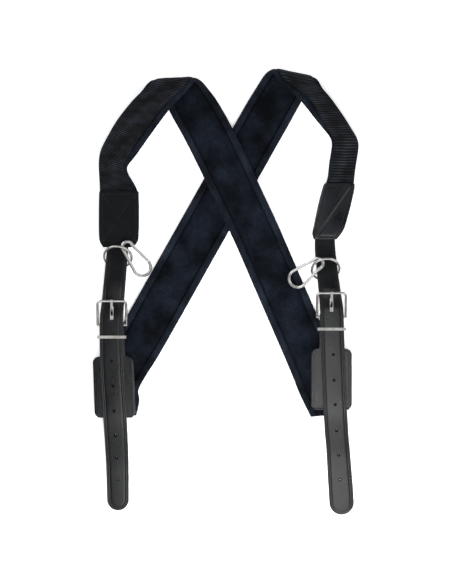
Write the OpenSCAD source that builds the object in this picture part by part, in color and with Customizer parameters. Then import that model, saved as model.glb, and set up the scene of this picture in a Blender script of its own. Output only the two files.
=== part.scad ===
// Pair of crossed, padded shoulder braces that carry a carpenter's tool belt.
// They lie flat on a table: X runs across, Y from the hips to the shoulders, and Z is up.
// Each brace is one pad that starts under a belt loop at a hip, crosses the other pad,
// folds over at the shoulder and ends in a leather patch, a pronged strap and a buckle.

/* [Shoulder pads] */
// Full thickness of a pad
pad_t = 8; // [7:0.5:8]
// Width of the sewn border along each edge of a pad
border_w = 9; // [7:1:10]
// Share of the pad's width that the ribbed webbing covers
webbing_share = 0.78; // [0.7:0.01:0.82]
// Thickness of the ribbed webbing
webbing_t = 1.6; // [1:0.1:1.8]

/* [Leather] */
// Thickness of the long straps
strap_t = 3; // [2.6:0.1:3]
// Width of a long strap between its buckle and its tip
strap_w = 33; // [31:0.5:33.5]
// Radius of the holes in a long strap
hole_r = 2.1; // [1.8:0.1:2.3]
// Thickness of the leather in the belt loops
loop_t = 2.2; // [1.8:0.1:2.2]
// Width of a belt loop
loop_w = 57; // [52:1:58]
// Height of the gap that the tool belt goes through
belt_gap = 6; // [5:0.5:6]
// Thickness of the leather patches on the pads' ends
patch_t = 2; // [1.6:0.1:2]

/* [Metal] */
// Radius of the wire of a ring
ring_wire_r = 1.8; // [1.5:0.1:1.9]
// Radius of a ring, to the middle of its wire
ring_r = 19.6; // [19.4:0.1:19.8]
// Radius of the wire of a snap hook
hook_wire_r = 2.3; // [2:0.1:2.4]
// Radius of the wire of a buckle
buckle_wire_r = 1.9; // [1.7:0.1:2]
// Clear width inside a buckle
buckle_w = 36.4; // [36:0.2:37]

/* [Hidden] */
$fn = 40;

cloth_colour = [0.10, 0.10, 0.11];
leather_colour = [0.16, 0.16, 0.17];
metal_colour = [0.82, 0.82, 0.84];
gap = 0.3;

// ---------------------------------------------------------------- curves and ribbons

// Catmull-Rom value between b and c, where a and d are the neighbours.
function catmull(a, b, c, d, t) =
  0.5 * (2 * b + (c - a) * t + (2 * a - 5 * b + 4 * c - d) * t * t
    + (3 * b - a - 3 * c + d) * t * t * t);
function at_end(list, i) = list[max(0, min(len(list) - 1, i))];
function spline(list, steps) = concat(
  [for (i = [0 : len(list) - 2]) for (k = [0 : steps - 1])
    catmull(at_end(list, i - 1), list[i], list[i + 1], at_end(list, i + 2), k / steps)],
  [list[len(list) - 1]]);
function unit(v) = v / norm(v);
function smooth(t) = let (c = max(0, min(1, t))) c * c * (3 - 2 * c);

// A station of a ribbon is [x, y, z, width, bearing, tilt]: the middle of the ribbon, and the
// width, compass bearing and sideways tilt of the line across it.
function middle(s) = [s[0], s[1], s[2]];
function across(s) = [cos(s[4]), sin(s[4]), tan(s[5])];
function tangent(list, i) = unit(middle(at_end(list, i + 1)) - middle(at_end(list, i - 1)));
function face_normal(list, i) = unit(cross(across(list[i]), tangent(list, i)));

// A bar of four sides along a ribbon. sides gives its two edges as shares of the half width
// plus a fixed distance, and low and high are heights above the middle of the ribbon.
module ribbon_bar(list, edge_a, edge_b, low, high) {
  corner = [[edge_a, low], [edge_b, low], [edge_b, high], [edge_a, high]];
  points = [for (i = [0 : len(list) - 1]) for (c = corner)
    middle(list[i])
      + across(list[i]) * (c[0][0] * list[i][3] / 2 + c[0][1])
      + face_normal(list, i) * c[1]];
  last = 4 * (len(list) - 1);
  sides = [for (i = [0 : len(list) - 2]) for (k = [0 : 3])
    let (a = 4 * i + k, b = 4 * i + (k + 1) % 4)
      each [[a, b, b + 4], [a, b + 4, a + 4]]];
  ends = [[0, 2, 1], [0, 3, 2], [last, last + 1, last + 2], [last, last + 2, last + 3]];
  polyhedron(points, concat(sides, ends), convexity = 6);
}

// ---------------------------------------------------------------- routes of the two pads

fold_r = 9;
rest_z = pad_t / 2;
crossing = [7, 156];
crossing_flat = 68;
crossing_ramp = 46;

// Height that a pad gains where it climbs over the other pad.
function climb(x, y) =
  (pad_t + gap) * (1 - smooth((norm([x, y] - crossing) - crossing_flat) / crossing_ramp));
// The fold at a shoulder: the ribbon winds half a turn round a line at the given bearing, and
// its corners pull in at the crest.
fold_pull = 7;
function fold(x, y, width, bearing, drift) = [for (turn = [0 : 30 : 180])
  let (m = fold_r * (sin(turn) - 1), e = drift * (turn - 90) / 90)
    [x - sin(bearing) * m + cos(bearing) * e, y + cos(bearing) * m + sin(bearing) * e,
      rest_z + fold_r * (1 - cos(turn)), width - fold_pull * pow(sin(turn), 4), bearing, 0]];

left_back = [
  [138, -174, 0, 38, 6, 0],
  [134, -140, 0, 60, 14, 0],
  [121, -100, 0, 65, 22, 0],
  [96, -42, 0, 65, 24, 0],
  [70, 18, 0, 65, 24, 0],
  [44, 78, 0, 65, 25, 0],
  [20, 129, 0, 65, 25, 0],
  [-6, 184, 0, 66, 26, 0],
  [-28, 228, 0, 66, 26, 0],
  [-45, 258, 0, 66, 22, 0]
];
left_front = [
  [-90, 276, 21, 57, -6, 4],
  [-105, 261, 18, 54, -12, 8],
  [-126, 234, 14, 54, -15, 12],
  [-141, 211, 13, 51, -16, 14],
  [-153, 191, 13, 48, -14, 14],
  [-159, 176, 12, 39, -8, 12],
  [-156, 160, 9, 43, 0, 6],
  [-150, 141, 8, 53, 0, 0],
  [-150, 118, 7.5, 54, 0, 0],
  [-150, 88, 9, 53, 0, 0]
];
right_back = [
  [-151, -174, 0, 50, 0, 0],
  [-150.5, -150, 0, 59, -4, 0],
  [-151, -132, 0, 57, -14, 0],
  [-140, -104, 0, 62, -25, 0],
  [-112, -54, 0, 66, -29, 0],
  [6, 156, 0, 66, -29, 0],
  [59, 250, 0, 66, -27, 0]
];
right_front = [
  [111, 284, 21, 50, -4, -6],
  [127, 267, 18, 42, 6, -12],
  [145, 243, 15, 42, 2, -18],
  [158, 225, 14, 38, 2, -20],
  [167, 211, 13, 37, 0, -18],
  [166, 195, 12, 38, 0, -14],
  [163, 177, 11, 38, 0, -10],
  [161, 158, 10, 37, 0, -8],
  [157, 142, 10, 42, 0, -6],
  [151, 117, 9.5, 43, 0, -4],
  [145, 92, 9.5, 42, 0, 0]
];

// Puts a back section's stations at their height above the table.
function laid(list, climbs) = [for (s = list)
  [s[0], s[1], rest_z + (climbs ? climb(s[0], s[1]) : 0), s[3], s[4], s[5]]];
left_route = concat(laid(spline(left_back, 3), true), fold(-72, 296.5, 66, 3, -9),
  spline(left_front, 2));
right_route = concat(laid(spline(right_back, 4), false), fold(95, 304.5, 66, -12, 7),
  spline(right_front, 2));

core_edge = [1, -border_w];
liner_low = 1.5;
core_low = -pad_t / 2 + webbing_t + 0.2;

module pad_liner(route) {
  color(cloth_colour)
    ribbon_bar(route, -core_edge, core_edge, liner_low, pad_t / 2);
}
module pad_core(route) {
  color("dimgray")
    ribbon_bar(route, -core_edge, core_edge, core_low, liner_low);
}
module pad_webbing(route) {
  color(cloth_colour)
    ribbon_bar(route, [-webbing_share, 0], [webbing_share, 0], -pad_t / 2, core_low);
}
module pad_binding(route) {
  color(cloth_colour) {
    ribbon_bar(route, core_edge, [1, 0], core_low, -core_low);
    ribbon_bar(route, [-1, 0], -core_edge, core_low, -core_low);
  }
}

// ---------------------------------------------------------------- leather patches

// Station i of a list, moved off the middle of the pad by h.
function lifted(list, i, h) =
  let (p = middle(list[i]) + face_normal(list, i) * h)
    [p[0], p[1], p[2], list[i][3], list[i][4], list[i][5]];
left_patch_on_pad = [[-150, 141, 8, 55, 0, 0], [-150, 118, 7.5, 56, 0, 0],
  [-150, 88, 9, 56, 0, 0]];
right_patch_on_pad = [[159, 152, 10, 41, 0, -7], [157, 142, 10, 44, 0, -6],
  [151, 117, 9.5, 45, 0, -4], [145, 92, 9.5, 44, 0, 0]];

// A patch lies on its pad, runs past the pad's end and closes on the strap. Its side is -1 at
// the front and 1 at the back.
module patch(on_pad, side, past_end) {
  lift = side * (pad_t / 2 + 0.1 + patch_t / 2);
  route = spline(concat([for (i = [0 : len(on_pad) - 1]) lifted(on_pad, i, lift)], past_end), 3);
  color(leather_colour)
    ribbon_bar(route, [-1, 0], [1, 0], -patch_t / 2, patch_t / 2);
}

// ---------------------------------------------------------------- hip hardware

// Every hip has its own origin at the buckle's heel bar; v runs down the loop.
left_hip = [-159.6, -46.9];
right_hip = [147.5, -35.7];
loop_low = 8.2;
neck_top = loop_low + 2 * loop_t + belt_gap;
heel_z = neck_top - loop_t - buckle_wire_r - 0.1;
loop_drop = 130;
neck_w = 33;

// Points of an arc, from one angle to another.
function arc(centre, r, from, to, steps) = [for (i = [0 : steps])
  let (a = from + (to - from) * i / steps) centre + r * [cos(a), sin(a)]];
// Outline of a strip of leather of thickness t along a line of points.
function side_step(line, i, d) =
  let (t = unit(at_end(line, i + 1) - at_end(line, i - 1))) line[i] + d * [-t[1], t[0]];
function strip(line, t) = concat(
  [for (i = [0 : len(line) - 1]) side_step(line, i, t / 2)],
  [for (i = [len(line) - 1 : -1 : 0]) side_step(line, i, -t / 2)]);

// Side view of a belt loop: one strip that starts under the neck, wraps the heel bar, runs
// down the front, turns at the bottom and comes back up behind to the seam under the neck.
seam_v = 44;
module loop_side() {
  wrap_r = buckle_wire_r + 0.1 + loop_t / 2;
  face_z = neck_top - loop_t / 2;
  under_z = face_z - loop_t - 0.1;
  turn_r = (neck_top - loop_low) / 2 - loop_t / 2;
  turn = [-loop_drop + turn_r + loop_t / 2, loop_low + loop_t / 2 + turn_r];
  line = concat(
    [[-seam_v + 7, under_z], [-14, under_z], [-10, under_z - 0.6]],
    arc([0, heel_z], wrap_r, -105, 90, 12),
    [[-30, face_z], [-seam_v, face_z], [-80, face_z]],
    arc(turn, turn_r, 90, 270, 10),
    [[-seam_v - 14, loop_low + loop_t / 2], [-seam_v - 11, loop_low + loop_t / 2 + 0.5],
      [-seam_v - 4, under_z - 0.5], [-seam_v - 1, under_z], [-seam_v + 6, under_z]]);
  polygon(strip(line, loop_t));
}

// Outline of a belt loop seen from above, with the heel bar at the origin.
module loop_outline(lean) {
  turn_r = 9;
  arc_x = loop_w / 2 - turn_r;
  half = concat(
    [[neck_w / 2, 8], [neck_w / 2, -4], [17, -14], [17, -seam_v + 6], [18, -seam_v]],
    arc([arc_x, -seam_v - turn_r], turn_r, 90, 0, 8),
    arc([arc_x, -loop_drop + turn_r], turn_r, 0, -90, 8));
  rotate(lean)
    polygon(concat(half, [for (i = [len(half) - 1 : -1 : 0]) [-half[i][0], half[i][1]]]));
}

module belt_loop(hip, lean) {
  prong_slot = 9;
  color(leather_colour)
    translate([hip[0], hip[1], 0])
      difference() {
        intersection() {
          rotate([90, 0, 90])
            linear_extrude(4 * loop_w, center = true) loop_side();
          linear_extrude(100) loop_outline(lean);
        }
        translate([-prong_slot / 2, -7, heel_z - 5]) cube([prong_slot, 14, 10]);
      }
}

// A buckle frame: heel bar, two curved side bars and a front bar, all of round wire.
front_v = 33.6;
front_z = 9.2;
side_x = buckle_w / 2 + buckle_wire_r;
corner_r = 5;
module wire(a, b, r) {
  d = b - a;
  translate(a)
    rotate([0, acos(d[2] / norm(d)), atan2(d[1], d[0])])
      cylinder(h = norm(d), r = r);
}
module buckle_frame(hip) {
  rise = atan2(front_z, front_v);
  reach = norm([front_v, front_z]);
  color(metal_colour)
    translate([hip[0], hip[1], heel_z]) {
      wire([-side_x, 0, 0], [side_x, 0, 0], buckle_wire_r);
      for (x = [-1, 1]) {
        translate([x * side_x, 0, 0]) sphere(buckle_wire_r);
        rotate([rise, 0, 0]) {
          wire([x * side_x, 0, 0], [x * side_x, reach - corner_r, 0], buckle_wire_r);
          translate([x * (side_x - corner_r), reach - corner_r, 0])
            rotate(x > 0 ? 0 : 90)
              rotate_extrude(angle = 90) translate([corner_r, 0]) circle(buckle_wire_r);
        }
      }
      rotate([rise, 0, 0])
        wire([-side_x + corner_r, reach, 0], [side_x - corner_r, reach, 0], buckle_wire_r);
    }
}

// The prong hooks round the heel bar, comes up through the strap and rests on the front bar.
prong_t = 2.6;
prong_w = 3.4;
module prong_side() {
  eye_r = buckle_wire_r + 0.06;
  half = prong_t / 2;
  difference() {
    union() {
      circle(eye_r + 1.6);
      polygon([[2.4, 1.7], [2.4, -1.1], [14.4, 0.4], [24.2, 10.3], [34.8, 11.35],
        [34.6, 13.95], [23, 12.8], [13.4, 2.9]]);
      translate([34.7, 12.65]) circle(half);
    }
    circle(eye_r);
  }
}
module buckle_prong(hip) {
  color(metal_colour)
    translate([hip[0], hip[1], heel_z])
      rotate([90, 0, 90])
        linear_extrude(prong_w, center = true) prong_side();
}

// A flat metal loop round the neck and the strap.
keeper_v = 16.8;
keeper_l = 4;
keeper_t = 1.6;
module keeper(hip, shift) {
  low = neck_top - 2 * loop_t - 0.4;
  high = neck_top + strap_t + 0.6;
  wide = 37.2;
  color(metal_colour)
    translate([hip[0] + shift, hip[1] - keeper_v, 0])
      difference() {
        translate([-wide / 2 - keeper_t, -keeper_l / 2, low - keeper_t])
          cube([wide + 2 * keeper_t, keeper_l, high - low + 2 * keeper_t]);
        translate([-wide / 2, -keeper_l, low]) cube([wide, 2 * keeper_l, high - low]);
      }
}

// ---------------------------------------------------------------- long straps

strap_rest = neck_top + 0.2 + strap_t / 2;
// Height of the strap's middle at each distance y up the table, for a hip at y = 0.
function strap_heights(top) = concat(top,
  [[40, strap_rest - 1.3], [32, strap_rest - 1.6], [24, strap_rest - 1.3], [14, strap_rest - 0.2],
    [6, strap_rest], [-60, strap_rest], [-120, strap_rest], [-133, strap_rest - 0.3],
    [-150, strap_rest - 5], [-178, 7.5], [-196, 2.6], [-210, strap_t / 2 + 0.1],
    [-280, strap_t / 2 + 0.1]]);

module strap_side(heights) {
  line = spline(heights, 4);
  polygon(concat([for (p = line) [p[0], p[1] + strap_t / 2]],
    [for (i = [len(line) - 1 : -1 : 0]) [line[i][0], line[i][1] - strap_t / 2]]));
}

// Outline of a strap seen from above: middle line points [x, y, width], tip included.
module strap_outline(points) {
  line = spline(points, 4);
  tip = line[len(line) - 1];
  polygon(concat([for (p = line) [p[0] - p[2] / 2, p[1]]],
    [for (i = [len(line) - 1 : -1 : 0]) [line[i][0] + line[i][2] / 2, line[i][1]]]));
  translate([tip[0], tip[1]]) circle(tip[2] / 2);
}

module long_strap(hip, heights, points, holes) {
  color(leather_colour)
    difference() {
      intersection() {
        translate([0, hip[1], 0])
          rotate([90, 0, 90])
            linear_extrude(800, center = true) strap_side(heights);
        linear_extrude(60) strap_outline(points);
      }
      for (h = holes)
        translate([h[0], h[1], h[2]]) rotate([h[3], 0, 0])
          cylinder(h = 12, r = hole_r, center = true);
      // oblong hole that the prong comes up through
      hull()
        for (v = [9, 24.5])
          translate([hip[0], hip[1] + v, strap_rest - 8]) cylinder(h = 16, r = 2.2);
    }
}

left_heights = strap_heights([[134, 11.2], [122, 11.7], [110, 13], [95, 15.3], [80, 17.1],
  [66, 18.8], [54, 19.6]]);
left_line = [[-150, 85, 29], [-151.8, 58, 30], [-157.4, -8, 31.5], [-160, -36, strap_w],
  [-160.3, -60, strap_w], [-159.6, -103, strap_w], [-157.2, -145, strap_w],
  [-154.6, -187, strap_w], [-152.6, -236, 32], [-151.6, -292, 30.5]];
left_holes = [[-159.9, -97, strap_rest, 0], [-158, -132, strap_rest, 0],
  [-156.2, -167, strap_rest, 0], [-154.8, -200, 14.4, -20], [-153.4, -232, 4.6, -13],
  [-152.2, -264, 2, 0]];
right_heights = strap_heights([[122, 11.4], [112, 11.4], [100, 11.7], [84, 13.2], [66.7, 15.3],
  [52, 17.1]]);
right_line = [[139, 83, 28], [138.8, 58, 29], [144.6, 2, 31], [147.6, -25, strap_w],
  [148.4, -50, strap_w], [149.2, -75, strap_w], [150.8, -124, strap_w], [154, -187, strap_w],
  [157.2, -222, strap_w], [160.2, -264, 34.2], [162.2, -296, 34.4]];
right_holes = [[150, -88, strap_rest, 0], [150.9, -124, strap_rest, 0],
  [152.5, -158, strap_rest, 0], [154.8, -193, 14.4, -20], [157.8, -229, 3, -8],
  [160.1, -264, 2, 0]];

// ---------------------------------------------------------------- rings and snap hooks

module ring(centre, plan, tilt) {
  color(metal_colour)
    translate(centre) rotate([0, 0, plan]) rotate([tilt, 0, 0])
      rotate_extrude($fn = 96) translate([ring_r, 0]) circle(ring_wire_r);
}

// A pear-shaped snap hook in its own plane: wide end at the origin, narrow end up v.
wide_r = 12.2;
narrow_r = 7.2;
hook_d = 36;
taper = asin((wide_r - narrow_r) / hook_d);
hinge = [cos(taper) * narrow_r, hook_d + sin(taper) * narrow_r - 5];
nose = [cos(taper) * wide_r, sin(taper) * wide_r];
lug_t = 2;
lug_r = 2;

module hook_place(place) {
  translate([place[0], place[1], place[2]])
    rotate([0, 0, place[3]]) rotate([place[4], 0, 0]) rotate([0, place[5], 0])
      children();
}
module hook_body(place) {
  side_low = [-cos(taper) * wide_r, sin(taper) * wide_r, 0];
  side_high = [-cos(taper) * narrow_r, hook_d + sin(taper) * narrow_r, 0];
  side_run = unit(side_high - side_low);
  tuck = 0.6;
  color(metal_colour)
    hook_place(place)
      difference() {
        union() {
          // wide end
          rotate(180 - taper) rotate_extrude(angle = 180 + 2 * taper)
            translate([wide_r, 0]) circle(hook_wire_r);
          // narrow end
          translate([0, hook_d]) rotate(taper) rotate_extrude(angle = 180 - 2 * taper)
            translate([narrow_r, 0]) circle(hook_wire_r);
          // closed side
          wire(side_low - side_run * tuck, side_high + side_run * tuck, hook_wire_r - 0.05);
          // hinge lug
          linear_extrude(lug_t, center = true) {
            translate([hinge[0], hinge[1]]) circle(lug_r);
            translate([hinge[0] - lug_r, hinge[1]]) square([2 * lug_r, 5.4]);
          }
        }
        translate([hinge[0], hinge[1], 0]) cylinder(h = 8, r = 0.8, center = true);
      }
}
module hook_gate(place) {
  free_end = nose + unit(hinge - nose) * 1;
  color(metal_colour)
    hook_place(place)
      difference() {
        union() {
          wire([free_end[0], free_end[1], 0], [hinge[0], hinge[1], 0], 2.1);
          translate([hinge[0], hinge[1], 0]) cylinder(h = 4.4, r = 2.3, center = true);
        }
        // fork that straddles the lug
        translate([hinge[0] - 6, hinge[1] - 3.2, -1.15]) cube([12, 12, 2.3]);
        translate([hinge[0], hinge[1], 0]) cylinder(h = 8, r = 0.85, center = true);
      }
}
module hook_pin(place) {
  color(metal_colour)
    hook_place(place)
      translate([hinge[0], hinge[1], 0]) cylinder(h = 5, r = 0.8, center = true);
}

left_ring_at = [-151.5, 48.3, 15.3];
right_ring_at = [139.5, 31, 15.3];
left_hook_at = [-117.4, 34, 14.2, 35.8, 12.1, 8];
right_hook_at = [100.1, 18, 14.6, -53.3, 11.8, -3.5];

// ---------------------------------------------------------------- nodes

pad_liner(left_route);  // left_pad_liner
pad_core(left_route);  // left_pad_core
pad_webbing(left_route);  // left_pad_webbing
pad_binding(left_route);  // left_pad_binding
pad_liner(right_route);  // right_pad_liner
pad_core(right_route);  // right_pad_core
pad_webbing(right_route);  // right_pad_webbing
pad_binding(right_route);  // right_pad_binding
patch(left_patch_on_pad, -1,  // left_patch_front
  [[-150, 71, 15.1, 54, 0, 0], [-151, 62, 15.7, 42, 0, 0]]);
patch(left_patch_on_pad, 1,  // left_patch_back
  [[-150, 80, 6.4, 55, 0, 0], [-150, 71, 9.3, 54, 0, 0], [-151, 62, 10.3, 42, 0, 0]]);
patch(right_patch_on_pad, -1,  // right_patch_front
  [[141, 81, 14.5, 41, 0, 0], [139, 73, 14.2, 32, 0, 0]]);
patch(right_patch_on_pad, 1,  // right_patch_back
  [[141, 81, 7.9, 41, 0, 0], [139, 73, 8.8, 32, 0, 0]]);
long_strap(left_hip, left_heights, left_line, left_holes);  // left_strap
long_strap(right_hip, right_heights, right_line, right_holes);  // right_strap
belt_loop(left_hip, 2);  // left_belt_loop
belt_loop(right_hip, 0);  // right_belt_loop
buckle_frame(left_hip);  // left_buckle_frame
buckle_frame(right_hip);  // right_buckle_frame
buckle_prong(left_hip);  // left_buckle_prong
buckle_prong(right_hip);  // right_buckle_prong
keeper(left_hip, 0);  // left_keeper
keeper(right_hip, 0.6);  // right_keeper
ring(left_ring_at, -5.2, 42);  // left_ring
ring(right_ring_at, 5.1, 42);  // right_ring
hook_body(left_hook_at);  // left_hook_body
hook_body(right_hook_at);  // right_hook_body
hook_gate(left_hook_at);  // left_hook_gate
hook_gate(right_hook_at);  // right_hook_gate
hook_pin(left_hook_at);  // left_hook_pin
hook_pin(right_hook_at);  // right_hook_pin
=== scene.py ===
"""Looks for the padded tool-belt braces: plush pads, ribbed webbing, stitched leather, plated wire.

Lengths in this script are millimetres in the CAD row's frame, and metres once they reach Blender.
"""
import math

import bpy
import numpy as np
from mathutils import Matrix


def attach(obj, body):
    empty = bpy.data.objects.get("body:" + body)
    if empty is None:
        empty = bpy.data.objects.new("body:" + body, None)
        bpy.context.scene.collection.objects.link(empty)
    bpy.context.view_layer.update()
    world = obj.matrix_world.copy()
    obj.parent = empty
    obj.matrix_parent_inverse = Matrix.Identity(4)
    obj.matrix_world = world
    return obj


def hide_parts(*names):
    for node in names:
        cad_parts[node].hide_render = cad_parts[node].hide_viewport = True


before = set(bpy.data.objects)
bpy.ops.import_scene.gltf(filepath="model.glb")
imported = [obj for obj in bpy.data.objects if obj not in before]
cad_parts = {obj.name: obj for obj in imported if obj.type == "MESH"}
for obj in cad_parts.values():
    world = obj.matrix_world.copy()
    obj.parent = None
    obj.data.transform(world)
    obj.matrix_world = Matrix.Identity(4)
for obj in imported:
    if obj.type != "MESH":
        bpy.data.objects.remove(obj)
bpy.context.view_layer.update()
MM = 0.001
SCENE = bpy.context.scene
SIDES = ("left", "right")

# ---------------------------------------------------------------- sizes shared with the CAD part

PAD_T = 8.0
REST_Z = PAD_T / 2
BORDER_W = 10.2
WEB_SHARE = 0.78
WEB_T = 1.8
STRAP_T = 3.0
LOOP_T = 2.2
LOOP_W = 57.0
PATCH_T = 2.0
FOLD_R = 9.0
FOLD_PULL = 7.0
CROSSING = np.array([7.0, 156.0])
CROSSING_FLAT = 68.0
CROSSING_RAMP = 46.0
CROSSING_GAP = 0.3
LOOP_LOW = 8.2
BELT_GAP = 6.0
NECK_TOP = LOOP_LOW + 2 * LOOP_T + BELT_GAP
HEEL_R = 2.0
HEEL_Z = NECK_TOP - LOOP_T - HEEL_R
LOOP_DROP = 130.0
SEAM_V = 44.0
STRAP_REST = NECK_TOP + 0.2 + STRAP_T / 2
HOLE_R = 2.1
HIP = {"left": (-159.6, -46.9), "right": (147.5, -35.7)}
LOOP_LEAN = {"left": 2.0, "right": 0.0}

# Stations of a ribbon: [x, y, z, width, bearing, tilt] of the line across it.
PAD_BACK = {
    "left": [[138, -174, 0, 38, 6, 0], [134, -140, 0, 60, 14, 0], [121, -100, 0, 65, 22, 0],
             [96, -42, 0, 65, 24, 0], [70, 18, 0, 65, 24, 0], [44, 78, 0, 65, 25, 0],
             [20, 129, 0, 65, 25, 0], [-6, 184, 0, 66, 26, 0], [-28, 228, 0, 66, 26, 0],
             [-45, 258, 0, 66, 22, 0]],
    "right": [[-151, -174, 0, 50, 0, 0], [-150.5, -150, 0, 59, -4, 0],
              [-151, -132, 0, 57, -14, 0], [-140, -104, 0, 62, -25, 0],
              [-112, -54, 0, 66, -29, 0], [6, 156, 0, 66, -29, 0], [59, 250, 0, 66, -27, 0]],
}
PAD_FRONT = {
    "left": [[-90, 276, 21, 57, -6, 4], [-105, 261, 18, 54, -12, 8], [-126, 234, 14, 54, -15, 12],
             [-141, 211, 13, 51, -16, 14], [-153, 191, 13, 48, -14, 14],
             [-159, 176, 12, 39, -8, 12], [-156, 160, 9, 43, 0, 6], [-150, 141, 8, 53, 0, 0],
             [-150, 118, 7.5, 54, 0, 0], [-150, 88, 9, 53, 0, 0]],
    "right": [[111, 284, 21, 50, -4, -6], [127, 267, 18, 42, 6, -12], [145, 243, 15, 42, 2, -18],
              [158, 225, 14, 38, 2, -20], [167, 211, 13, 37, 0, -18], [166, 195, 12, 38, 0, -14],
              [163, 177, 11, 38, 0, -10], [161, 158, 10, 37, 0, -8], [157, 142, 10, 42, 0, -6],
              [151, 117, 9.5, 43, 0, -4], [145, 92, 9.5, 42, 0, 0]],
}
# Shoulder folds: x, y, width, bearing and sideways drift.
PAD_FOLD = {"left": (-72, 296.5, 66, 3, -9), "right": (95, 304.5, 66, -12, 7)}
# Steps that a pad's back stretches are splined in, as in the CAD part.
BACK_STEPS = {"left": 3, "right": 4}
PATCH_ON_PAD = {
    "left": [[-150, 141, 8, 55, 0, 0], [-150, 118, 7.5, 56, 0, 0], [-150, 88, 9, 56, 0, 0]],
    "right": [[159, 152, 10, 41, 0, -7], [157, 142, 10, 44, 0, -6], [151, 117, 9.5, 45, 0, -4],
              [145, 92, 9.5, 44, 0, 0]],
}
PATCH_PAST_END = {
    ("left", "front"): [[-150, 71, 15.1, 54, 0, 0], [-151, 62, 15.7, 42, 0, 0]],
    ("left", "back"): [[-150, 80, 6.4, 55, 0, 0], [-150, 71, 9.3, 54, 0, 0],
                       [-151, 62, 10.3, 42, 0, 0]],
    ("right", "front"): [[141, 81, 14.5, 41, 0, 0], [139, 73, 14.2, 32, 0, 0]],
    ("right", "back"): [[141, 81, 7.9, 41, 0, 0], [139, 73, 8.8, 32, 0, 0]],
}
# Middle line and width of each long strap, seen from above, and its height along the table.
STRAP_LINE = {
    "left": [[-150, 85, 29], [-151.8, 58, 30], [-157.4, -8, 31.5], [-160, -36, 33],
             [-160.3, -60, 33], [-159.6, -103, 33], [-157.2, -145, 33], [-154.6, -187, 33],
             [-152.6, -236, 32], [-151.6, -292, 30.5]],
    "right": [[139, 83, 28], [138.8, 58, 29], [144.6, 2, 31], [147.6, -25, 33], [148.4, -50, 33],
              [149.2, -75, 33], [150.8, -124, 33], [154, -187, 33], [157.2, -222, 33],
              [160.2, -264, 34.2], [162.2, -296, 34.4]],
}
STRAP_TOP = {
    "left": [[134, 11.2], [122, 11.7], [110, 13], [95, 15.3], [80, 17.1], [66, 18.8], [54, 19.6]],
    "right": [[122, 11.4], [112, 11.4], [100, 11.7], [84, 13.2], [66.7, 15.3], [52, 17.1]],
}
STRAP_REST_OF_WAY = [[40, STRAP_REST - 1.3], [32, STRAP_REST - 1.6], [24, STRAP_REST - 1.3],
                     [14, STRAP_REST - 0.2], [6, STRAP_REST], [-60, STRAP_REST],
                     [-120, STRAP_REST], [-133, STRAP_REST - 0.3], [-150, STRAP_REST - 5],
                     [-178, 7.5], [-196, 2.6], [-210, 1.6], [-280, 1.6]]
STRAP_HOLES = {
    "left": [(-159.9, -97, 0), (-158, -132, 0), (-156.2, -167, 0), (-154.8, -200, -20),
             (-153.4, -232, -13), (-152.2, -264, 0)],
    "right": [(150, -88, 0), (150.9, -124, 0), (152.5, -158, 0), (154.8, -193, -20),
              (157.8, -229, -8), (160.1, -264, 0)],
}
PRONG_SLOT_V = (8.3, 24.9)
PRONG_SLOT_R = 2.2

# ---------------------------------------------------------------- curves and ribbons


def spline(points, steps):
    """Catmull-Rom points through a list, as the CAD part makes them."""
    p = np.asarray(points, float)
    out = []
    for i in range(len(p) - 1):
        a, b, c, d = p[max(i - 1, 0)], p[i], p[i + 1], p[min(i + 2, len(p) - 1)]
        for k in range(steps):
            t = k / steps
            out.append(0.5 * (2 * b + (c - a) * t + (2 * a - 5 * b + 4 * c - d) * t * t
                              + (3 * b - a - 3 * c + d) * t ** 3))
    return np.array(out + [p[-1]])


def unit(v):
    return v / np.linalg.norm(v, axis=-1, keepdims=True)


def soften(values, sigma):
    """Gaussian smoothing down the rows, with the end rows held."""
    if sigma <= 0:
        return values
    reach = int(3 * sigma) + 1
    kernel = np.exp(-0.5 * (np.arange(-reach, reach + 1) / sigma) ** 2)
    kernel /= kernel.sum()
    v = values if values.ndim > 1 else values[:, None]
    first = 2 * v[0] - v[reach:0:-1]
    last = 2 * v[-1] - v[-2:-reach - 2:-1]
    padded = np.vstack([first, v, last])
    out = np.column_stack([np.convolve(padded[:, k], kernel, "valid") for k in range(v.shape[1])])
    return out if values.ndim > 1 else out[:, 0]


def along(points):
    """Distance of each point along its line."""
    steps = np.linalg.norm(np.diff(points[:, :3], axis=0), axis=1)
    return np.concatenate([[0], np.cumsum(steps)])


def resample(points, step):
    d = along(points)
    n = max(2, int(round(d[-1] / step)))
    s = np.linspace(0, d[-1], n + 1)
    return np.column_stack([np.interp(s, d, points[:, k]) for k in range(points.shape[1])])


class Ribbon:
    """A line with a width, a direction across and a face normal at every step."""

    def __init__(self, middle, across, half):
        self.middle = middle
        self.half = half
        self.s = along(middle)
        self.across = unit(across)
        self.normal = unit(np.cross(self.across, unit(np.gradient(middle, axis=0))))

    def place(self, a, h):
        """Points at distances a across and h off the face, both of shape (rows, columns)."""
        return (self.middle[:, None] + self.across[:, None] * a[..., None]
                + self.normal[:, None] * h[..., None])

    def at(self, s, a, h):
        """Points at distance s along the ribbon."""
        def pick(v):
            return np.column_stack([np.interp(s, self.s, v[:, k]) for k in range(3)])
        normal = unit(pick(self.normal))
        points = pick(self.middle) + unit(pick(self.across)) * np.asarray(a)[:, None]
        return points + normal * np.asarray(h)[:, None], normal


def across_at(stations):
    """Direction across the ribbon at each station."""
    bearing, tilt = np.radians(stations[:, 4]), np.radians(stations[:, 5])
    return np.column_stack([np.cos(bearing), np.sin(bearing), np.tan(tilt)])


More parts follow.
